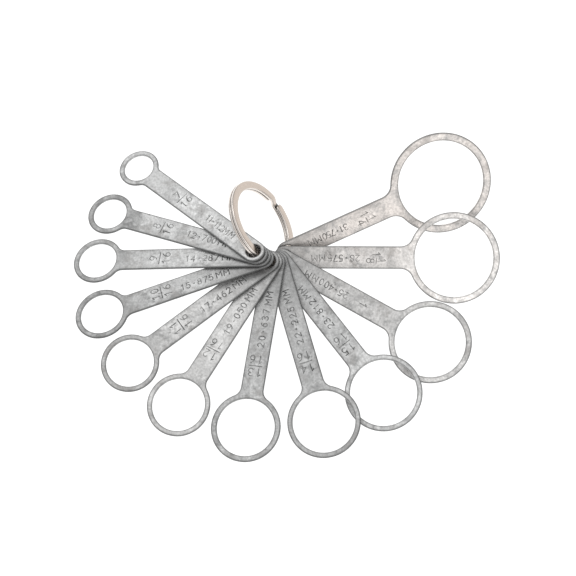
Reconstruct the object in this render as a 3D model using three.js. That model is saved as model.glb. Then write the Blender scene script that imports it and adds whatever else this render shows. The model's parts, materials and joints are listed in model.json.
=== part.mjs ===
// Fan of ring gauges on a split key ring.
// Twelve flat gauges, each a ring with a round-ended handle, are threaded through their handle
// holes on one two-turn split ring. Millimetres, +Z up, lying on the bench at z = 0.
// +X runs to the right of the fan and +Y towards its back.

import * as THREE from "three";

const INCH = 25.4;

// Gauge plates
const PLATE_THICKNESS = 1.0;
const HANDLE_WIDTH = 8.2;
const HANDLE_END_RADIUS = HANDLE_WIDTH / 2;
const PIVOT_HOLE_DIAMETER = 5.2;
const PIVOT_TO_RING = 61.5;
const FILLET_BASE = 1.7;
const FILLET_PER_SIXTEENTH = 0.16;

// Split ring: a flat band wound for nearly two turns, with a jog from one turn to the next
const RING_MEAN_RADIUS = 15.1;
const BAND_WIDTH = 3.0;
const BAND_THICKNESS = 1.05;
const BAND_CHAMFER = 0.3;
const TURN_GAP = 0.08;
const JOG_ANGLE = 11;
const JOG_CLEARANCE = 2;
const JOG_PLACE = 49.5;
const RING_TILT = 49.5;
const RING_AZIMUTH = 10;

// Fan: every plate turns about one shared spine line, so that no two plates cross below it
const SPINE_AZIMUTH = 23.5;
const SPINE_RISE = 9.5;
const STACK_GAP = 0.4;
const FIRST_GAUGE_ON_WIRE = -120.5;

// size: bore in sixteenths of an inch. wall: ring width. fan: handle direction from the spine.
// lean: how far the plate turns about the spine.
const GAUGES = [
  { name: "gauge_7_16", size: 7, wall: 2.0, fan: 114.5, lean: 11.5 },
  { name: "gauge_8_16", size: 8, wall: 2.1, fan: 134, lean: 11.5 },
  { name: "gauge_9_16", size: 9, wall: 2.0, fan: 152, lean: 11.5 },
  { name: "gauge_10_16", size: 10, wall: 2.0, fan: 172.5, lean: 11.5 },
  { name: "gauge_11_16", size: 11, wall: 1.9, fan: 192, lean: -1.5 },
  { name: "gauge_12_16", size: 12, wall: 1.9, fan: 213.5, lean: -2 },
  { name: "gauge_13_16", size: 13, wall: 2.1, fan: 236.5, lean: -3 },
  { name: "gauge_14_16", size: 14, wall: 1.9, fan: 261.5, lean: -4.5 },
  { name: "gauge_15_16", size: 15, wall: 1.9, fan: 282.5, lean: -7 },
  { name: "gauge_1", size: 16, wall: 2.2, fan: 305, lean: -10 },
  { name: "gauge_1_1_8", size: 18, wall: 2.4, fan: 334.5, lean: -18.5 },
  { name: "gauge_1_1_4", size: 20, wall: 2.9, fan: 359, lean: -40 },
];

// Facets
const CIRCLE_SEGMENTS = 48;
const HOLE_SEGMENTS = 32;
const BAND_STEP_ANGLE = 3;

const radians = THREE.MathUtils.degToRad;

function arcPoints(x, y, radius, from, to, segmentsPerTurn) {
  const count = Math.max(2, Math.ceil((Math.abs(to - from) / (2 * Math.PI)) * segmentsPerTurn));
  const clockwise = to < from;
  return new THREE.EllipseCurve(x, y, radius, radius, from, to, clockwise).getPoints(count);
}

function circlePath(x, radius, segments) {
  const points = arcPoints(x, 0, radius, 0, 2 * Math.PI, segments);
  points.pop();
  return new THREE.Path(points);
}

// Outline of one plate: round end about the pivot hole, straight handle, and a ring that the
// handle runs into with a concave fillet on each side. The pivot hole is at the origin.
function gaugeShape(boreRadius, wall, fillet) {
  const outer = boreRadius + wall;
  const half = HANDLE_WIDTH / 2;
  const filletY = half + fillet;
  const filletX = PIVOT_TO_RING - Math.sqrt((outer + fillet) ** 2 - filletY ** 2);
  const meet = Math.atan2(filletY, filletX - PIVOT_TO_RING);
  const quarter = Math.PI / 2;
  const outline = [
    ...arcPoints(0, 0, HANDLE_END_RADIUS, quarter, 3 * quarter, HOLE_SEGMENTS),
    ...arcPoints(filletX, -filletY, fillet, quarter, Math.PI - meet, CIRCLE_SEGMENTS),
    ...arcPoints(PIVOT_TO_RING, 0, outer, -meet, meet, CIRCLE_SEGMENTS).slice(1, -1),
    ...arcPoints(filletX, filletY, fillet, meet - Math.PI, -quarter, CIRCLE_SEGMENTS),
  ];
  const shape = new THREE.Shape(outline);
  shape.holes.push(circlePath(PIVOT_TO_RING, boreRadius, CIRCLE_SEGMENTS));
  shape.holes.push(circlePath(0, PIVOT_HOLE_DIAMETER / 2, HOLE_SEGMENTS));
  return shape;
}

function gaugeGeometry({ size, wall }) {
  const boreRadius = (size * INCH) / 16 / 2;
  const fillet = FILLET_BASE + FILLET_PER_SIXTEENTH * size;
  const options = { depth: PLATE_THICKNESS, bevelEnabled: false };
  const geometry = new THREE.ExtrudeGeometry(gaugeShape(boreRadius, wall, fillet), options);
  return geometry.translate(0, 0, -PLATE_THICKNESS / 2);
}

// Flat band section with chamfered edges, x across the ring and y along its axis
function bandSection() {
  const x = BAND_WIDTH / 2;
  const y = BAND_THICKNESS / 2;
  const c = BAND_CHAMFER;
  const corners = [
    [x - c, -y], [x, c - y], [x, y - c], [x - c, y],
    [c - x, y], [-x, y - c], [-x, c - y], [c - x, -y],
  ];
  return new THREE.Shape(corners.map(([a, b]) => new THREE.Vector2(a, b)));
}

// The band is extruded straight, one unit of length to a degree, and then wound about +Z.
// Angle 0 is the ring's lowest point on the bench.
function splitRingGeometry() {
  const start = JOG_ANGLE / 2 + JOG_CLEARANCE;
  const sweep = 720 - 2 * start;
  const steps = Math.round(sweep / BAND_STEP_ANGLE);
  const options = { depth: sweep, steps, bevelEnabled: false };
  const geometry = new THREE.ExtrudeGeometry(bandSection(), options);
  const turnOffset = (BAND_THICKNESS + TURN_GAP) / 2;
  const place = geometry.getAttribute("position");
  for (let i = 0; i < place.count; i += 1) {
    const along = start + place.getZ(i);
    const jog = THREE.MathUtils.smoothstep(along, 360 - JOG_ANGLE / 2, 360 + JOG_ANGLE / 2);
    const angle = radians(along + JOG_PLACE);
    const radius = RING_MEAN_RADIUS + place.getX(i);
    const height = turnOffset * (2 * jog - 1) - place.getY(i);
    place.setXYZ(i, radius * Math.cos(angle), radius * Math.sin(angle), height);
  }
  geometry.deleteAttribute("uv");
  geometry.computeVertexNormals();
  return geometry;
}

function splitRing() {
  const nickel = new THREE.MeshStandardMaterial({ color: 0xd1c4b8, roughness: 0.25, metalness: 1 });
  const mesh = new THREE.Mesh(splitRingGeometry(), nickel);
  mesh.name = "split_ring";
  const tilt = radians(RING_TILT);
  mesh.rotation.set(0, tilt, radians(RING_AZIMUTH), "ZYX");
  const edge = RING_MEAN_RADIUS + BAND_WIDTH / 2;
  mesh.position.z = edge * Math.sin(tilt) + BAND_THICKNESS * Math.cos(tilt);
  mesh.updateMatrixWorld();
  return mesh;
}

// The gauges go on the wire one by one. Each step is wide enough for the plate, a gap, and the
// room that the round handle end needs to lean away from the plate above it.
function threadGauges(ring) {
  const spine = new THREE.Quaternion().setFromEuler(
    new THREE.Euler(0, radians(-SPINE_RISE), radians(SPINE_AZIMUTH), "ZYX"),
  );
  const meshes = [];
  let place = radians(FIRST_GAUGE_ON_WIRE);
  let previousLean = GAUGES[0].lean;
  for (const gauge of GAUGES) {
    const turn = new THREE.Euler(radians(-gauge.lean), 0, radians(gauge.fan), "XYZ");
    const facing = spine.clone().multiply(new THREE.Quaternion().setFromEuler(turn));
    if (meshes.length > 0) {
      const along = new THREE.Vector3(-Math.sin(place), Math.cos(place), 0);
      const normal = new THREE.Vector3(0, 0, 1).applyQuaternion(facing);
      const square = Math.abs(along.applyQuaternion(ring.quaternion).dot(normal));
      const room = HANDLE_END_RADIUS * Math.tan(radians(previousLean - gauge.lean));
      place += (PLATE_THICKNESS + STACK_GAP + room) / square / RING_MEAN_RADIUS;
    }
    const metal = { color: 0xb9b9b8, roughness: 0.5, metalness: 0.9 };
    const mesh = new THREE.Mesh(gaugeGeometry(gauge), new THREE.MeshStandardMaterial(metal));
    mesh.name = gauge.name;
    mesh.quaternion.copy(facing);
    mesh.position.set(Math.cos(place), Math.sin(place), 0).multiplyScalar(RING_MEAN_RADIUS);
    mesh.position.applyMatrix4(ring.matrixWorld);
    meshes.push(mesh);
    previousLean = gauge.lean;
  }
  return meshes;
}

// The origin is under the middle of the whole object, on the bench.
function settle(group) {
  const box = new THREE.Box3().setFromObject(group, true);
  const middle = box.getCenter(new THREE.Vector3());
  group.position.set(-middle.x, -middle.y, -box.min.z);
  return group;
}

const ring = splitRing();
const gaugeSet = new THREE.Group();
gaugeSet.add(ring, ...threadGauges(ring));

export default settle(gaugeSet);
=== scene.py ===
"""Looks for a fan of ring gauges threaded on a split key ring.

Each gauge is a punched plate with tumbled edges and hand-stamped sizes. The key ring is a flat
nickel band wound for nearly two turns. Shapes are worked out in millimetres in a piece's own frame.
"""

import json
import math
import random
from typing import NamedTuple

import bpy
from mathutils import Matrix, Vector, noise
from mathutils.geometry import delaunay_2d_cdt


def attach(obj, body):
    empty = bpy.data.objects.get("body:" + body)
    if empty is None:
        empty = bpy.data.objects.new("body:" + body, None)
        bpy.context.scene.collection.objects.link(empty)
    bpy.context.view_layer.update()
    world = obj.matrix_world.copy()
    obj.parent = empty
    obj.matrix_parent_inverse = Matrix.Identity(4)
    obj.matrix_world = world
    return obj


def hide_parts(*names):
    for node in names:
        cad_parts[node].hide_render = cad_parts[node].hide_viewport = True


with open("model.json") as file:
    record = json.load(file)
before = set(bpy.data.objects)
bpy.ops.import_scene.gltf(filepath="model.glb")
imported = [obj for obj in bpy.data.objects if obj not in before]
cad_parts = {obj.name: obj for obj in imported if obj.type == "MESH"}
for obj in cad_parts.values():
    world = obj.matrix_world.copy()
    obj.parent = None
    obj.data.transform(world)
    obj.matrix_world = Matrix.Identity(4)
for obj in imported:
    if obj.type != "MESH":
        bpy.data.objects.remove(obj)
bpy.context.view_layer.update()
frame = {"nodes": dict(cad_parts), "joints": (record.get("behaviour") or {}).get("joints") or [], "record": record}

MM = 0.001
INCH = 25.4

# Gauge plates
THICKNESS = 1.0
HANDLE_WIDTH = 8.2
HOLE_RADIUS = 2.6
PIVOT_TO_RING = 61.5
FILLET_BASE = 1.7
FILLET_PER_SIXTEENTH = 0.16

# Tumbled edges: their radius, how much it wanders, and the width of the flat strip beside them
EDGE_RADIUS = 0.4
EDGE_WANDER = 0.07
EDGE_WANDER_LENGTH = 2.5
EDGE_STEPS = 4
EDGE_MARGIN = 0.25
# Painted shade on the edges: how dark each row of an edge is painted, from the flat top to the middle of the side
OUTER_EDGE_SHADE = (0.0, 0.45, 0.7, 0.9, 1.0, 1.0)
BORE_EDGE_SHADE = (0.0, 0.4, 0.6, 0.45, 0.15, 0.05)

# Plates are a little out of flat, and their faces have points on a grid to follow that
WARP = 0.03
WARP_LENGTH = 14.0
GRID_STEP = 1.7
GRID_ROWS = (-1.5, -0.5, 0.5, 1.5)

# Facets, in degrees or millimetres
CAP_STEP = 6.0
FILLET_STEP = 7.0
RING_STEP = 2.5
SIDE_STEP = 1.2
LETTER_STEP = 18.0
SHARP_CORNER = 40.0

# Stamps: the groove of a stroke and the lip that it pushes up on both sides
STROKE_WIDTH = 0.34
STROKE_DEPTH = 0.17
LIP_WIDTH = 0.22
LIP_HEIGHT = 0.02
# Lines drawn into the face beside a stroke, so that its mesh follows the groove and the lip
STROKE_LINES = (0.55 * STROKE_WIDTH / 2, STROKE_WIDTH / 2)
LIP_LINES = (STROKE_WIDTH / 2 + LIP_WIDTH / 2, STROKE_WIDTH / 2 + LIP_WIDTH)
# Every letter is punched by hand: its turn in degrees, its shift, and its depth as a share
HAND_TURN = 4
HAND_SHIFT = 0.1
HAND_DEPTH = (0.6, 1.1)

# The size in millimetres, along the handle
TEXT_HEIGHT = 2.3
WIDE_LETTER_GAP = 1.4
UNIT_PITCH = 2.9

# The size in inches, across the handle: rows over and under a bar
FRACTION_HEIGHT = 2.75
FRACTION_PITCH = 2.9
FRACTION_ROW = 2.35
FRACTION_SHIFT = -0.2
BAR_HALF_LENGTH = 2.35
BAR_LEAN = 0.15
BAR_DEPTH = (0.8, 1.1)
# Beside a whole inch the fraction is narrower and moves over
WHOLE_SHIFT = 1.3
PART_SHIFT = -1.2
PART_OVER = 2.0
PART_UNDER = 2.2
PART_BAR_HALF = 1.0

# Wear and painted shade: how far the metal is rubbed bright round a stamp, where along the handle the
# painted shade near the pivot, where the plates lie under one another, sets in and is full, how strong
# it is on every gauge but the top one, and the length of handle over which the tone changes to the ring's
RUBBED_REACH = 1.7
PIVOT_SHADE_START = 24.0
PIVOT_SHADE_FULL = 9.0
PIVOT_SHADE_STRENGTH = 0.4
RIM_BLEND = 7.0
# How far apart the gauges lie in the noise that colours them
SEED_STEP = 10.0


class Gauge(NamedTuple):
    """What differs from gauge to gauge. Places on the handle are distances from the pivot."""

    size: int  # bore in sixteenths of an inch
    wall: float  # width of the ring
    first: float  # place of the first letter of the size in millimetres
    pitch: float  # from one of those letters to the next
    shift: float  # of that row of letters to one side
    bar: float  # place of the bar of the size in inches
    tone: float  # brightness of the metal
    warmth: float  # of its colour, from cool grey at 0 to a pinkish beige at 1
    rim: float  # brightness of the ring as a share of the handle's


GAUGES = {
    "gauge_7_16": Gauge(7, 2.0, 23.8, 1.5, 0.0, 38.0, 0.505, 0.0, 1.0),
    "gauge_8_16": Gauge(8, 2.1, 28.0, 2.1, -0.5, 39.0, 0.455, 0.0, 0.78),
    "gauge_9_16": Gauge(9, 2.0, 27.0, 2.2, 0.3, 37.6, 0.47, 0.0, 0.84),
    "gauge_10_16": Gauge(10, 2.0, 30.6, 2.15, 0.7, 38.6, 0.395, 0.0, 0.82),
    "gauge_11_16": Gauge(11, 1.9, 29.2, 2.3, 0.2, 38.8, 0.43, 0.1, 0.92),
    "gauge_12_16": Gauge(12, 1.9, 30.3, 2.3, 0.4, 38.2, 0.465, 0.1, 0.97),
    "gauge_13_16": Gauge(13, 2.1, 31.2, 2.5, 0.4, 39.1, 0.36, 0.0, 1.13),
    "gauge_14_16": Gauge(14, 1.9, 31.2, 2.5, -0.1, 39.0, 0.355, 0.0, 1.14),
    "gauge_15_16": Gauge(15, 1.9, 30.6, 2.2, 0.0, 38.9, 0.405, 0.0, 1.25),
    "gauge_1": Gauge(16, 2.2, 26.7, 2.0, -0.2, 33.8, 0.455, 0.2, 1.17),
    "gauge_1_1_8": Gauge(18, 2.4, 26.4, 2.0, -0.3, 33.3, 0.505, 0.5, 1.42),
    "gauge_1_1_4": Gauge(20, 2.9, 23.1, 1.7, -0.3, 31.3, 0.525, 0.9, 1.1),
}

# Split ring
WIRE_RADIUS = 15.1
BAND_WIDTH = 3.0
BAND_THICKNESS = 1.05
BAND_CORNER = 0.28
BAND_CORNER_STEPS = 4
CORNER_END = 0.3
TURN_GAP = 0.08
JOG_ANGLE = 11.0
JOG_CLEARANCE = 2.0
JOG_PLACE = 49.5
WIRE_STEP = 1.5
TIP_LENGTH = 5.0
TIP_SHRINK = 0.35

# Studio: brightness of the surroundings at the horizon and from a height up, the floor's own glow
# as on a light table, and in metres its half width and its gap below the lowest gauge
SKY_HORIZON = 0.32
SKY_ZENITH = 1.1
SKY_FULL_HEIGHT = 0.8
FLOOR_GLOW = 0.85
FLOOR_HALF = 12.0
FLOOR_GAP = 0.001

# Camera: elevation in degrees, distance and aim in metres from the origin under the middle of the
# set, lens and sensor in millimetres
VIEW_ELEVATION = 66.5
VIEW_DISTANCE = 0.7
VIEW_AIM = Vector((0.00077, 0.00632, 0.00064))
LENS = 119.88
SENSOR = 36.0


def ramp(value, none, full):
    """0 at none, 1 at full, and straight between them."""
    return min(1.0, max(0.0, (value - none) / (full - none)))


def spread(start, end, step):
    """Evenly spaced angles in radians from start to end, about step degrees apart."""
    count = max(2, math.ceil(abs(math.degrees(end - start)) / step))
    return [start + (end - start) * i / count for i in range(count + 1)]


def arc(x, y, radius, start, end, step):
    return [(x + radius * math.cos(a), y + radius * math.sin(a)) for a in spread(start, end, step)]


def outline(bore_radius, wall, fillet, inset):
    """The plate's outline, anticlockwise, moved inwards by inset. The pivot is at the origin."""
    outer = bore_radius + wall
    half = HANDLE_WIDTH / 2 - inset
    fillet_y = HANDLE_WIDTH / 2 + fillet
    fillet_x = PIVOT_TO_RING - math.sqrt((outer + fillet) ** 2 - fillet_y**2)
    meet = math.atan2(fillet_y, fillet_x - PIVOT_TO_RING)
    quarter = math.pi / 2
    steps = round(fillet_x / SIDE_STEP)
    side = [fillet_x * i / steps for i in range(1, steps)]
    points = arc(0, 0, half, quarter, 3 * quarter, CAP_STEP)
    points += [(x, -half) for x in side]
    points += arc(fillet_x, -fillet_y, fillet + inset, quarter, math.pi - meet, FILLET_STEP)
    points += arc(PIVOT_TO_RING, 0, outer - inset, -meet, meet, RING_STEP)[1:-1]
    points += arc(fillet_x, fillet_y, fillet + inset, meet - math.pi, -quarter, FILLET_STEP)
    points += [(x, half) for x in reversed(side)]
    return points


def hole_outline(x, radius, inset, step):
    """A hole's edge, clockwise, moved into the metal by inset."""
    return arc(x, 0, radius + inset, 2 * math.pi, 0, step)[:-1]


# Stamped letters: strokes on a cell one unit high
def bow(x, y, width, height, start, end):
    angles = spread(math.radians(start), math.radians(end), LETTER_STEP)
    return [(x + width * math.cos(a), y + height * math.sin(a)) for a in angles]


SIX = bow(0.62, 0.36, 0.6, 0.64, 105, 172) + bow(0.3, 0.3, 0.28, 0.3, 170, 530)
LETTERS = {
    "0": (0.6, [bow(0.3, 0.5, 0.29, 0.5, 90, 450)]),
    "1": (0.5, [[(0.06, 0.76), (0.3, 1.0), (0.3, 0.0)]]),
    "2": (0.6, [bow(0.3, 0.71, 0.28, 0.29, 165, -35) + [(0.02, 0.0), (0.6, 0.0)]]),
    "3": (0.6, [
        bow(0.27, 0.76, 0.26, 0.24, 150, -90),
        bow(0.27, 0.27, 0.31, 0.27, 80, -150),
    ]),
    "4": (0.62, [[(0.45, 0.0), (0.45, 1.0), (0.0, 0.3), (0.62, 0.3)]]),
    "5": (0.6, [[(0.56, 1.0), (0.12, 1.0), (0.08, 0.56)] + bow(0.28, 0.32, 0.3, 0.32, 120, -145)]),
    "6": (0.6, [SIX]),
    "7": (0.6, [[(0.0, 1.0), (0.6, 1.0), (0.2, 0.0)]]),
    "8": (0.6, [bow(0.3, 0.76, 0.23, 0.24, -90, 270), bow(0.3, 0.26, 0.29, 0.26, 90, 450)]),
    "9": (0.6, [[(0.6 - x, 1.0 - y) for x, y in SIX]]),
    "M": (0.84, [[(0.0, 0.0), (0.03, 1.0), (0.42, 0.42), (0.81, 1.0), (0.84, 0.0)]]),
    ".": (0.3, [[(0.04, 0.5), (0.26, 0.5)], [(0.15, 0.42), (0.15, 0.58)]]),
}


def stamp(strokes, letter, centre, advance, height, rng):
    """One letter punched by hand at centre, reading along advance, a little turned and uneven."""
    width, lines = LETTERS[letter]
    turn = math.atan2(advance[1], advance[0]) + math.radians(rng.uniform(-HAND_TURN, HAND_TURN))
    cos, sin = math.cos(turn), math.sin(turn)
    x0 = centre[0] + rng.uniform(-HAND_SHIFT, HAND_SHIFT)
    y0 = centre[1] + rng.uniform(-HAND_SHIFT, HAND_SHIFT)
    depth = STROKE_DEPTH * rng.uniform(*HAND_DEPTH)
    for line in lines:
        points = []
        for x, y in line:
            u, v = (x - width / 2) * height, (y - 0.5) * height
            points.append((x0 + u * cos - v * sin, y0 + u * sin + v * cos))
        for run in smooth_runs(points):
            add_stroke(strokes, run, depth)


def smooth_runs(line):
    """Splits a line at its sharp corners, so that each run is cut as a groove of its own."""
    runs, start = [], 0
    for i in range(1, len(line) - 1):
        before = Vector(line[i]) - Vector(line[i - 1])
        after = Vector(line[i + 1]) - Vector(line[i])
        if before.angle(after) > math.radians(SHARP_CORNER):
            runs.append(line[start:i + 1])
            start = i
    return runs + [line[start:]]


def add_stroke(strokes, points, depth):
    """Keeps a stroke with its depth and the box that its groove and lip stay in."""
    reach = STROKE_WIDTH / 2 + LIP_WIDTH
    xs, ys = [p[0] for p in points], [p[1] for p in points]
    box = (min(xs) - reach, max(xs) + reach, min(ys) - reach, max(ys) + reach)
    strokes.append((points, depth, box))


def stamp_millimetres(strokes, gauge, rng):
    """The bore in millimetres, cut off after three decimals, read towards the pivot."""
    thousandths = math.floor(gauge.size * INCH / 16 * 1000 + 0.001)
    towards_pivot = (-1, 0)
    x = gauge.first
    for letter in f"{thousandths / 1000:.3f}":
        stamp(strokes, letter, (x, gauge.shift), towards_pivot, TEXT_HEIGHT, rng)
        x -= gauge.pitch
    x -= (WIDE_LETTER_GAP - 1) * gauge.pitch
    for letter in "MM":
        stamp(strokes, letter, (x, gauge.shift), towards_pivot, TEXT_HEIGHT, rng)
        x -= UNIT_PITCH


def stamp_inches(strokes, gauge, rng):
    """The bore in inches, read across the handle: sixteenths, or a whole inch and a fraction."""
    whole, over = divmod(gauge.size, 16)
    across = (0, -1)
    bar = gauge.bar
    if whole and not over:
        stamp(strokes, "1", (bar, 0), across, FRACTION_HEIGHT, rng)
        return
    if whole:
        stamp(strokes, "1", (bar, WHOLE_SHIFT), across, FRACTION_HEIGHT, rng)
        rows = ((bar + PART_OVER, "1"), (bar - PART_UNDER, str(16 // over)))
        middle, half = PART_SHIFT, PART_BAR_HALF
    else:
        rows = ((bar + FRACTION_ROW, str(gauge.size)), (bar - FRACTION_ROW, "16"))
        middle, half = FRACTION_SHIFT, BAR_HALF_LENGTH
    for row, digits in rows:
        y = middle + FRACTION_PITCH * (len(digits) - 1) / 2
        for digit in digits:
            stamp(strokes, digit, (row, y), across, FRACTION_HEIGHT, rng)
            y -= FRACTION_PITCH
    lean = rng.uniform(-BAR_LEAN, BAR_LEAN)
    line = [(bar - lean, middle + half), (bar, middle), (bar + lean, middle - half)]
    add_stroke(strokes, line, STROKE_DEPTH * rng.uniform(*BAR_DEPTH))


def distance_to(points, x, y):
    """Distance from a point to the nearest place on a line of points."""
    best = math.inf
    for (ax, ay), (bx, by) in zip(points, points[1:]):
        dx, dy = bx - ax, by - ay
        along = ((x - ax) * dx + (y - ay) * dy) / (dx * dx + dy * dy)
        along = min(1.0, max(0.0, along))
        best = min(best, math.hypot(x - ax - along * dx, y - ay - along * dy))
    return best


def stamp_height(strokes, x, y):
    """Height of the stamped face at a point: a round-bottomed groove with a raised lip."""
    half = STROKE_WIDTH / 2
    groove, lip = 0.0, 0.0
    for points, depth, (low_x, high_x, low_y, high_y) in strokes:
        if low_x < x < high_x and low_y < y < high_y:
            distance = distance_to(points, x, y)
            if distance < half:
                groove = min(groove, -depth * (1 - (distance / half) ** 2))
            elif distance < half + LIP_WIDTH:
                rise = math.sin(math.pi * (distance - half) / LIP_WIDTH)
                lip = max(lip, LIP_HEIGHT * rise)
    return groove if groove < 0 else lip


def contours(points, distance):
    """Lines at a distance from a stroke: one loop round an open stroke, two beside a closed one."""
    closed = math.dist(points[0], points[-1]) < 1e-6
    line = points[:-1] if closed else points
    count = len(line)
    left, right, normals = [], [], []
    for i, (x, y) in enumerate(line):
        before = line[i - 1] if closed or i else line[i]
        after = line[(i + 1) % count] if closed or i + 1 < count else line[i]
        dx, dy = after[0] - before[0], after[1] - before[1]
        length = math.hypot(dx, dy)
        nx, ny = -dy / length, dx / length
        normals.append((nx, ny))
        left.append((x + nx * distance, y + ny * distance))
        right.append((x - nx * distance, y - ny * distance))
    if closed:
        return [left, right]
    ends = []
    for (x, y), (nx, ny), way in ((line[-1], normals[-1], 1), (line[0], normals[0], -1)):
        start = math.atan2(ny * way, nx * way)
        ends.append([
            (x + distance * math.cos(start - a), y + distance * math.sin(start - a))
            for a in (math.pi / 4, math.pi / 2, 3 * math.pi / 4)
        ])
    return [left + ends[0] + right[::-1] + ends[1]]


class Surface:
    """A mesh being built: vertices with amounts of each kind of wear and painted light, and faces.

    One amount is how far a point is sunk into a groove; on the split ring it is painted shade in the
    groove between the turns. One is how far a point is on a rounded edge, for painted shade on a
    gauge's edges and a painted highlight on the ring's band corners. One is how far a point is rubbed
    bright; on the split ring it is a painted highlight on the band's sides. A gauge also has painted
    shade near its pivot, where the plates lie under one another, and an amount for the part beyond
    its handle.
    """

    def __init__(self):
        self.places = []
        self.wear = {"stamped_and_groove_shade": [], "edge_shade_and_highlight": [], "rubbed_and_highlight": []}
        self.faces = []

    def add(self, x, y, z, stamped_and_groove_shade=0.0, edge_shade_and_highlight=0.0, rubbed_and_highlight=0.0):
        self.places.append((x, y, z))
        for kind, amount in zip(self.wear, (stamped_and_groove_shade, edge_shade_and_highlight, rubbed_and_highlight)):
            self.wear[kind].append(amount)
        return len(self.places) - 1

    def band(self, upper, lower):
        """Joins two closed rows of vertices with a strip of faces."""
        for i in range(len(upper)):
            j = (i + 1) % len(upper)
            self.faces.append((upper[i], lower[i], lower[j], upper[j]))

    def make(self, name, matrix):
        mesh = bpy.data.meshes.new(name)
        mesh.from_pydata([Vector(p) * MM for p in self.places], [], self.faces)
        for kind, amounts in self.wear.items():
            mesh.attributes.new(kind, "FLOAT", "POINT").data.foreach_set("value", amounts)
        mesh.transform(matrix)
        mesh.shade_smooth()
        piece = bpy.data.objects.new(name, mesh)
        bpy.context.scene.collection.objects.link(piece)
        return piece


def fill(surface, rims, lines, height, up, holes):
    """Triangulates the face between the rims, with lines drawn into it.

    height(x, y) gives a new vertex's height and its stamped and rubbed amounts. holes are the
    centres and radii that the face leaves open. up tells the top face from the bottom one.
    """
    flat, ids, edges = [], [], []
    for rim in rims:
        start = len(flat)
        flat += [Vector(surface.places[i][:2]) for i in rim]
        ids += rim
        edges += [(start + i, start + (i + 1) % len(rim)) for i in range(len(rim))]
    for line, closed in lines:
        start = len(flat)
        flat += [Vector(p) for p in line]
        edges += [(start + i, start + i + 1) for i in range(len(line) - 1)]
        if closed and len(line) > 2:
            edges.append((start + len(line) - 1, start))
    points, _, triangles, sources, _, _ = delaunay_2d_cdt(flat, edges, [], 1, 1e-6)
    places = []
    for point, source in zip(points, sources):
        rim_ids = [s for s in source if s < len(ids)]
        if rim_ids:
            places.append(ids[rim_ids[0]])
        else:
            z, stamped_and_groove_shade, rubbed_and_highlight = height(point.x, point.y)
            places.append(surface.add(point.x, point.y, z, stamped_and_groove_shade, 0.0, rubbed_and_highlight))
    for triangle in triangles:
        corners = [points[i] for i in triangle]
        middle = sum(corners, Vector((0, 0))) / 3
        if any((middle - centre).length < radius for centre, radius in holes):
            continue
        a, b = corners[1] - corners[0], corners[2] - corners[0]
        face = [places[i] for i in triangle]
        if (a.x * b.y - a.y * b.x > 0) != up:
            face.reverse()
        surface.faces.append(face)


def warp(x, y, offset):
    """How far a plate is out of flat at a point. offset makes each plate different."""
    return WARP * noise.noise((x / WARP_LENGTH, y / WARP_LENGTH, offset))


def round_edge(surface, rim, inner, wander, edge_shade, offset):
    """Rounds the plate's edge from the top face to the bottom one, and returns its end rows.

    inner is the rim moved one millimetre into the metal. Each row of the edge gets its own amount of painted
    shade.
    """
    radii = []
    for x, y in rim:
        place = (x / EDGE_WANDER_LENGTH, y / EDGE_WANDER_LENGTH, offset)
        radii.append(EDGE_RADIUS + wander * noise.noise(place))
    turns = [math.pi / 2 * i / EDGE_STEPS for i in range(EDGE_STEPS + 1)]
    profile = [(1.0, EDGE_MARGIN, 0.0)]
    profile += [(1 - math.sin(turn), 0.0, 1 - math.cos(turn)) for turn in turns]
    rows = []
    for side in (1, -1):
        side_rows = []
        for (share, margin, drop), row_shade in zip(profile, edge_shade):
            row = []
            for (x, y), (inner_x, inner_y), radius in zip(rim, inner, radii):
                inset = radius * share + margin
                px, py = x + (inner_x - x) * inset, y + (inner_y - y) * inset
                z = side * (THICKNESS / 2 - radius * drop) + warp(px, py, offset)
                row.append(surface.add(px, py, z, 0.0, row_shade))
            side_rows.append(row)
        rows += side_rows if side == 1 else side_rows[::-1]
    for upper, lower in zip(rows, rows[1:]):
        surface.band(upper, lower)
    return rows[0], rows[-1]


def face_grid(reach):
    """Single points in rows along the handle, from the pivot's hole to the ring."""
    grid = []
    x = HOLE_RADIUS + GRID_STEP
    while x < reach:
        grid += [([(x, row * GRID_STEP)], False) for row in GRID_ROWS]
        x += GRID_STEP
    return grid


def stroke_lines(strokes):
    """The middle of every stroke, and the lines beside it."""
    lines = []
    for points, _, _ in strokes:
        lines.append((points, False))
        for distance in STROKE_LINES + LIP_LINES:
            lines += [(loop, True) for loop in contours(points, distance)]
    return lines


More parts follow.
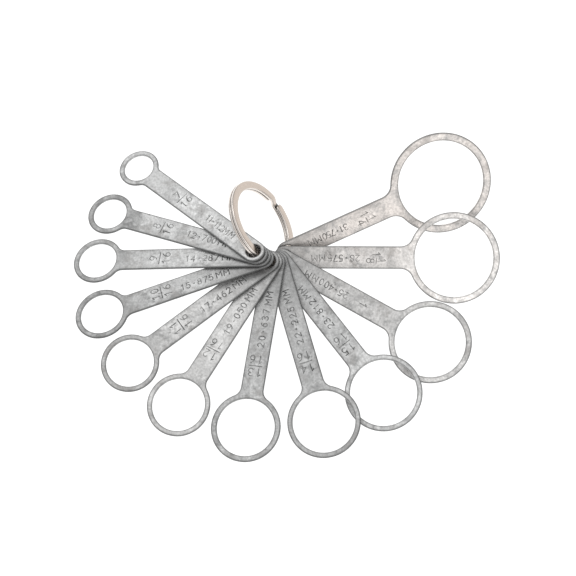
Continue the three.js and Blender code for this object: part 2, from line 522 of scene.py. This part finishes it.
def build_gauge(name, gauge, matrix):
    """One plate: rounded edges all round, a stamped top face and a plain bottom face."""
    rng = random.Random(name)
    offset = rng.uniform(0, 100)
    bore_radius = gauge.size * INCH / 32
    fillet = FILLET_BASE + FILLET_PER_SIXTEENTH * gauge.size
    strokes = []
    stamp_millimetres(strokes, gauge, rng)
    stamp_inches(strokes, gauge, rng)

    surface = Surface()
    tops, bottoms = [], []

    def add_edge(rims, wander, edge_shade):
        top_row, bottom_row = round_edge(surface, *rims, wander, edge_shade, offset)
        tops.append(top_row)
        bottoms.append(bottom_row)

    outside = [outline(bore_radius, gauge.wall, fillet, inset) for inset in (0, 1)]
    add_edge(outside, EDGE_WANDER, OUTER_EDGE_SHADE)
    holes = []
    for x, radius, step, edge_shade in (
        (0, HOLE_RADIUS, CAP_STEP, OUTER_EDGE_SHADE),
        (PIVOT_TO_RING, bore_radius, RING_STEP, BORE_EDGE_SHADE),
    ):
        add_edge([hole_outline(x, radius, inset, step) for inset in (0, 1)], 0, edge_shade)
        shrink = math.cos(math.radians(step) / 2)
        holes.append((Vector((x, 0)), (radius + EDGE_RADIUS + EDGE_MARGIN) * shrink))

    centres = [((box[0] + box[1]) / 2, (box[2] + box[3]) / 2) for _, _, box in strokes]

    def top(x, y):
        rise = stamp_height(strokes, x, y)
        near = min(math.hypot(x - cx, y - cy) for cx, cy in centres)
        rubbed_and_highlight = math.exp(-((near / RUBBED_REACH) ** 2))
        return THICKNESS / 2 + rise + warp(x, y, offset), ramp(-rise, 0, STROKE_DEPTH), rubbed_and_highlight

    def bottom(x, y):
        return warp(x, y, offset) - THICKNESS / 2, 0.0, 0.0

    reach = PIVOT_TO_RING - bore_radius - gauge.wall
    grid = face_grid(reach)
    fill(surface, tops, stroke_lines(strokes) + grid, top, True, holes)
    fill(surface, bottoms, grid, bottom, False, holes)
    along = [x for x, _, _ in surface.places]
    surface.wear["pivot_shade"] = [ramp(x, PIVOT_SHADE_START, PIVOT_SHADE_FULL) for x in along]
    surface.wear["far"] = [ramp(x, reach - RIM_BLEND, reach) for x in along]
    return surface.make("fine_" + name, matrix)


def gauge_matrix(name, joint):
    """The plate's own frame: origin at the pivot, z along the hinge, x towards the ring."""
    mesh = frame["nodes"][name].data
    middle = sum((p.center * p.area for p in mesh.polygons), Vector())
    middle /= sum(p.area for p in mesh.polygons)
    pivot, z = Vector(joint["pos_m"]), Vector(joint["axis"]).normalized()
    x = middle - pivot
    x = (x - z * x.dot(z)).normalized()
    rotation = Matrix((x, z.cross(x), z)).transposed()
    return Matrix.Translation(pivot) @ rotation.to_4x4()


def band_section():
    """The band's rounded section: x across the ring, y along its axis, anticlockwise."""
    x, y = BAND_WIDTH / 2 - BAND_CORNER, BAND_THICKNESS / 2 - BAND_CORNER
    section = []
    for corner, (sx, sy) in enumerate(((1, 1), (-1, 1), (-1, -1), (1, -1))):
        for i in range(BAND_CORNER_STEPS + 1):
            angle = math.pi / 2 * (corner + i / BAND_CORNER_STEPS)
            section.append((
                sx * x + BAND_CORNER * math.cos(angle),
                sy * y + BAND_CORNER * math.sin(angle),
            ))
    return section


def build_split_ring(matrix):
    """Sweeps the section for nearly two turns, with a jog half way onto the second turn."""
    start = JOG_ANGLE / 2 + JOG_CLEARANCE
    end = 720 - start
    count = round((end - start) / WIRE_STEP)
    lift = (BAND_THICKNESS + TURN_GAP) / 2
    surface = Surface()
    section = band_section()
    rows = []
    for i in range(count + 1):
        along = start + (end - start) * i / count
        jog = ramp(along, 360 - JOG_ANGLE / 2, 360 + JOG_ANGLE / 2)
        height = lift * (2 * jog * jog * (3 - 2 * jog) - 1)
        slope = lift * 12 * jog * (1 - jog) / (math.radians(JOG_ANGLE) * WIRE_RADIUS)
        pitch = math.atan(slope)
        angle = math.radians(along + JOG_PLACE)
        radial = Vector((math.cos(angle), math.sin(angle), 0))
        forward = Vector((-math.sin(angle), math.cos(angle), 0))
        tip = ramp(min(along - start, end - along), TIP_LENGTH, 0)
        size = 1 - TIP_SHRINK * tip * tip
        rise = Vector((0, 0, math.cos(pitch))) - forward * math.sin(pitch)
        middle = radial * WIRE_RADIUS + Vector((0, 0, height))
        # The faces that the two turns press together form the groove, which gets painted shade, and the
        # band's sides get a painted highlight.
        to_other_turn = (1 - 2 * jog) * 2 / BAND_THICKNESS
        row = []
        for x, y in section:
            groove = max(0.0, y * to_other_turn) ** 2
            sideways = ramp(abs(x), BAND_WIDTH / 2 - BAND_CORNER, BAND_WIDTH / 2)
            place = middle + radial * x * size + rise * y * size
            row.append(surface.add(*place, groove, 0.0, sideways))
        rows.append(row)
    for before, after in zip(rows, rows[1:]):
        surface.band(before, after)
    surface.faces.append(rows[0])
    surface.faces.append(rows[-1][::-1])
    # Painted highlight on the band's rounded corners
    for row in rows:
        for i, index in enumerate(row):
            corner = i % (BAND_CORNER_STEPS + 1)
            surface.wear["edge_shade_and_highlight"][index] = 1.0 if 0 < corner < BAND_CORNER_STEPS else CORNER_END
    return surface.make("fine_split_ring", matrix)


def ring_matrix():
    """The ring's own frame: z along its axis, x towards its lowest point."""
    mount = next(m for m in frame["record"]["mounts"] if m["name"] == "key_ring_loop")
    z = Vector(mount["axis"]).normalized()
    if z.z < 0:
        z.negate()
    x = (z * z.z - Vector((0, 0, 1))).normalized()
    rotation = Matrix((x, z.cross(x), z)).transposed()
    return Matrix.Translation(Vector(mount["pos_m"])) @ rotation.to_4x4()


# Materials
def feed(tree, socket, value):
    """Links a socket to another one, or sets it to a constant."""
    if isinstance(value, bpy.types.NodeSocket):
        tree.links.new(value, socket)
    else:
        socket.default_value = value


def node(tree, kind, settings=(), **sockets):
    made = tree.nodes.new("ShaderNode" + kind)
    for key, value in dict(settings).items():
        setattr(made, key, value)
    for key, value in sockets.items():
        feed(tree, made.inputs[key.replace("_", " ")], value)
    return made


def mix(tree, factor, a, b, blend="MIX"):
    made = node(tree, "Mix", {"data_type": "RGBA", "blend_type": blend, "clamp_factor": True})
    for index, value in ((0, factor), (6, a), (7, b)):
        feed(tree, made.inputs[index], value)
    return made.outputs[2]


def scaled(tree, value, low, high, to_low, to_high):
    """value moved from the range low to high into the range to_low to to_high."""
    made = node(tree, "MapRange", {"clamp": True})
    for index, number in enumerate((value, low, high, to_low, to_high)):
        feed(tree, made.inputs[index], number)
    return made.outputs[0]


def maths(tree, operation, a, b):
    made = node(tree, "Math", {"operation": operation, "use_clamp": False})
    feed(tree, made.inputs[0], a)
    feed(tree, made.inputs[1], b)
    return made.outputs[0]


def times(tree, a, b):
    return maths(tree, "MULTIPLY", a, b)


def plus(tree, a, b):
    return maths(tree, "ADD", a, b)


def grey(value, warmth=0.0):
    """A near-neutral metal colour; warmth moves it from cool grey towards a pinkish beige."""
    cool = Vector((0.995, 1.0, 0.995))
    warm = Vector((1.06, 0.985, 0.93))
    return (*(cool.lerp(warm, warmth) * value), 1.0)


def texture(tree, place, size_mm, detail, roughness, seed, distortion=0.0):
    return node(
        tree, "TexNoise", {"noise_dimensions": "4D"}, Vector=place, Scale=1 / (size_mm * MM),
        Detail=detail, Roughness=roughness, Distortion=distortion, W=seed,
    ).outputs["Fac"]


def new_material(name):
    """A material with its node tree, its shader and the place on the object that it is seen at."""
    material = bpy.data.materials.new(name)
    material.use_nodes = True
    tree = material.node_tree
    tree.nodes.clear()
    shader = node(tree, "BsdfPrincipled")
    output = node(tree, "OutputMaterial")
    tree.links.new(shader.outputs[0], output.inputs[0])
    place = node(tree, "TexCoord").outputs["Object"]
    return material, tree, shader, place


def wear_amount(tree, kind):
    """How much of one of its kinds of wear and painted light the mesh has there."""
    return node(tree, "Attribute", {"attribute_name": kind}).outputs["Fac"]


def gauge_metal(name, gauge, seed, pivot_shade_strength):
    """Tumbled light alloy: cloudy grey, fine grain, darker in the stamps, with painted shade on the edges and near
    the pivot.
    """
    material, tree, shader, place = new_material(name)
    tone, warmth = gauge.tone, gauge.warmth
    clouds = texture(tree, place, 4.6, 6, 0.66, seed, 0.9)
    patches = texture(tree, place, 11.0, 3, 0.5, seed + 11, 0.4)
    grain = texture(tree, place, 0.8, 3, 0.65, seed + 23)
    stains = texture(tree, place, 7.0, 2, 0.5, seed + 31, 1.2)
    smears = texture(tree, place, 2.2, 3, 0.6, seed + 47, 1.5)
    stamp_unevenness = texture(tree, place, 5.0, 2, 0.6, seed + 59, 0.8)

    cloudy = scaled(tree, clouds, 0.38, 0.62, 0.0, 1.0)
    colour = mix(tree, cloudy, grey(tone * 0.60, warmth * 0.4), grey(tone * 1.38, warmth))
    patchy = scaled(tree, patches, 0.42, 0.64, 0.0, 0.8)
    colour = mix(tree, patchy, colour, grey(tone * 1.02, warmth))
    stained = scaled(tree, stains, 0.54, 0.66, 0.0, 0.6)
    colour = mix(tree, stained, colour, grey(tone * 0.66, min(1.0, warmth + 0.35)))

    speckle = scaled(tree, grain, 0.3, 0.7, 0.74, 1.24)
    speckle = times(tree, speckle, scaled(tree, wear_amount(tree, "far"), 0, 1, 1, gauge.rim))
    speckle_colour = node(tree, "CombineColor", Red=speckle, Green=speckle, Blue=speckle)
    colour = mix(tree, 1.0, colour, speckle_colour.outputs[0], "MULTIPLY")

    smeared = scaled(tree, smears, 0.42, 0.58, 0.0, 1.0)
    rub_amount = times(tree, wear_amount(tree, "rubbed_and_highlight"), smeared)
    rub_amount = times(tree, rub_amount, 0.9)
    colour = mix(tree, rub_amount, colour, grey(min(0.9, tone * 1.5), warmth))
    # Painted shade near the pivot, where the plates lie under one another
    pivot_shade_amount = times(tree, wear_amount(tree, "pivot_shade"), pivot_shade_strength)
    colour = mix(tree, pivot_shade_amount, colour, grey(tone * 0.5, warmth * 0.3))
    # Painted shade on the rounded edges
    painted_edge_amount = scaled(tree, wear_amount(tree, "edge_shade_and_highlight"), 0.05, 0.9, 0.0, 0.9)
    colour = mix(tree, painted_edge_amount, colour, grey(tone * 0.36, warmth * 0.3))
    # Darker in the stamps, more in some than in others
    stamp_amount = scaled(tree, wear_amount(tree, "stamped_and_groove_shade"), 0.04, 0.55, 0.0, 0.95)
    stamp_amount = times(tree, stamp_amount, scaled(tree, stamp_unevenness, 0.38, 0.60, 0.5, 1.0))
    colour = mix(tree, stamp_amount, colour, grey(tone * 0.22, 0.0))
    tree.links.new(colour, shader.inputs["Base Color"])

    rough = plus(tree, scaled(tree, clouds, 0.3, 0.7, 0.40, 0.54), times(tree, grain, 0.06))
    tree.links.new(rough, shader.inputs["Roughness"])
    shader.inputs["Metallic"].default_value = 0.9
    relief = plus(tree, times(tree, clouds, 0.035), times(tree, grain, 0.009))
    bump = node(tree, "Bump", Strength=0.8, Distance=MM, Height=relief)
    tree.links.new(bump.outputs[0], shader.inputs["Normal"])
    return material


def ring_nickel():
    """Bright nickel plate with fine rubbing marks, painted highlights on its sides and rounded corners, and
    painted shade in its groove.
    """
    material, tree, shader, place = new_material("ring_nickel")
    rub = texture(tree, place, 1.6, 4, 0.6, 3.0, 0.5)
    fine = texture(tree, place, 0.25, 2, 0.5, 9.0)
    rubbed_and_highlight = scaled(tree, rub, 0.35, 0.65, 0.0, 1.0)
    colour = mix(tree, rubbed_and_highlight, (0.51, 0.44, 0.385, 1), (0.56, 0.485, 0.425, 1))
    # Painted highlight on the band's rounded corners
    painted_edge_amount = scaled(tree, wear_amount(tree, "edge_shade_and_highlight"), CORNER_END, 1.0, 0.0, 0.5)
    colour = mix(tree, painted_edge_amount, colour, (0.62, 0.60, 0.58, 1))
    # Painted highlight on the band's sides
    side_highlight_amount = scaled(tree, wear_amount(tree, "rubbed_and_highlight"), 0.3, 1.0, 0.0, 0.85)
    colour = mix(tree, side_highlight_amount, colour, (0.84, 0.78, 0.73, 1))
    # Painted shade in the groove between the turns
    groove_shade_amount = scaled(tree, wear_amount(tree, "stamped_and_groove_shade"), 0.45, 0.85, 0.0, 0.95)
    colour = mix(tree, groove_shade_amount, colour, (0.05, 0.05, 0.05, 1))
    tree.links.new(colour, shader.inputs["Base Color"])

    rough = scaled(tree, rub, 0.3, 0.7, 0.13, 0.22)
    tree.links.new(rough, shader.inputs["Roughness"])
    shader.inputs["Metallic"].default_value = 1.0
    relief = plus(tree, times(tree, rub, 0.0006), times(tree, fine, 0.0002))
    bump = node(tree, "Bump", Strength=0.6, Distance=MM, Height=relief)
    tree.links.new(bump.outputs[0], shader.inputs["Normal"])
    return material


def floor_paper():
    """Pale paper, lit from below."""
    material, tree, shader, place = new_material("floor_paper")
    fibre = texture(tree, place, 1.5, 2, 0.5, 5.0)
    shade = scaled(tree, fibre, 0.3, 0.7, 0.29, 0.31)
    colour = node(tree, "CombineColor", Red=shade, Green=shade, Blue=shade)
    tree.links.new(colour.outputs[0], shader.inputs["Base Color"])
    shader.inputs["Roughness"].default_value = 0.9
    shader.inputs["Emission Color"].default_value = (1, 1, 1, 1)
    shader.inputs["Emission Strength"].default_value = FLOOR_GLOW
    return material


# The object
joints = {j["child"]: j for j in frame["joints"]}
for index, (name, gauge) in enumerate(GAUGES.items()):
    body = name + "_body"
    plate = build_gauge(name, gauge, gauge_matrix(name, joints[body]))
    # Painted shade near the pivot on every gauge but the top one
    pivot_shade_strength = PIVOT_SHADE_STRENGTH if index else 0.0
    plate.data.materials.append(gauge_metal("metal_" + name, gauge, SEED_STEP * index, pivot_shade_strength))
    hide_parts(name)
    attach(plate, body)

split_ring = build_split_ring(ring_matrix())
split_ring.data.materials.append(ring_nickel())
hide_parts("split_ring")
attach(split_ring, "key_ring")


# The studio. The floor is a light table, low enough for the gauges to swing clear of it.
def lowest_swing(name):
    """The lowest point that a gauge's far end passes on a full turn about its leaning hinge."""
    gauge = GAUGES[name]
    joint = joints[name + "_body"]
    reach = (PIVOT_TO_RING + gauge.size * INCH / 32 + gauge.wall) * MM
    lean = Vector(joint["axis"]).normalized().xy.length
    return joint["pos_m"][2] - reach * lean


floor_height = min(map(lowest_swing, GAUGES)) - FLOOR_GAP
floor_mesh = bpy.data.meshes.new("floor")
corners = [
    (x * FLOOR_HALF, y * FLOOR_HALF, floor_height)
    for x, y in ((-1, -1), (1, -1), (1, 1), (-1, 1))
]
floor_mesh.from_pydata(corners, [], [(0, 1, 2, 3)])
floor = bpy.data.objects.new("floor", floor_mesh)
floor.data.materials.append(floor_paper())
bpy.context.scene.collection.objects.link(floor)

world = bpy.data.worlds.new("studio")
world.use_nodes = True
sky = world.node_tree
direction = node(sky, "TexCoord").outputs["Generated"]
up = node(sky, "SeparateXYZ", Vector=direction).outputs["Z"]
glow = scaled(sky, up, 0.0, SKY_FULL_HEIGHT, SKY_HORIZON, SKY_ZENITH)
sky.nodes["Background"].inputs["Color"].default_value = (1, 1, 1, 1)
sky.links.new(glow, sky.nodes["Background"].inputs["Strength"])
bpy.context.scene.world = world


def softbox(name, place, size, radiance):
    """A square lamp that faces the object."""
    light = bpy.data.lights.new(name, "AREA")
    light.shape = "SQUARE"
    light.size = size
    light.energy = radiance * math.pi * size * size
    lamp = bpy.data.objects.new(name, light)
    lamp.location = place
    lamp.rotation_euler = (-Vector(place)).to_track_quat("-Z", "Y").to_euler()
    bpy.context.scene.collection.objects.link(lamp)


softbox("key", (-0.5, 0.7, 1.3), 0.7, 2.2)
softbox("fill", (0.5, -1.1, 0.9), 0.9, 1.4)

camera = bpy.data.objects.new("camera", bpy.data.cameras.new("camera"))
elevation = math.radians(VIEW_ELEVATION)
back = Vector((0, -math.cos(elevation), math.sin(elevation)))
camera.location = VIEW_AIM + back * VIEW_DISTANCE
camera.rotation_euler = (-back).to_track_quat("-Z", "Y").to_euler()
camera.data.lens = LENS
camera.data.sensor_width = SENSOR
camera.data.clip_start = 0.01
bpy.context.scene.collection.objects.link(camera)
bpy.context.scene.camera = camera
bpy.context.scene.view_settings.view_transform = "Standard"
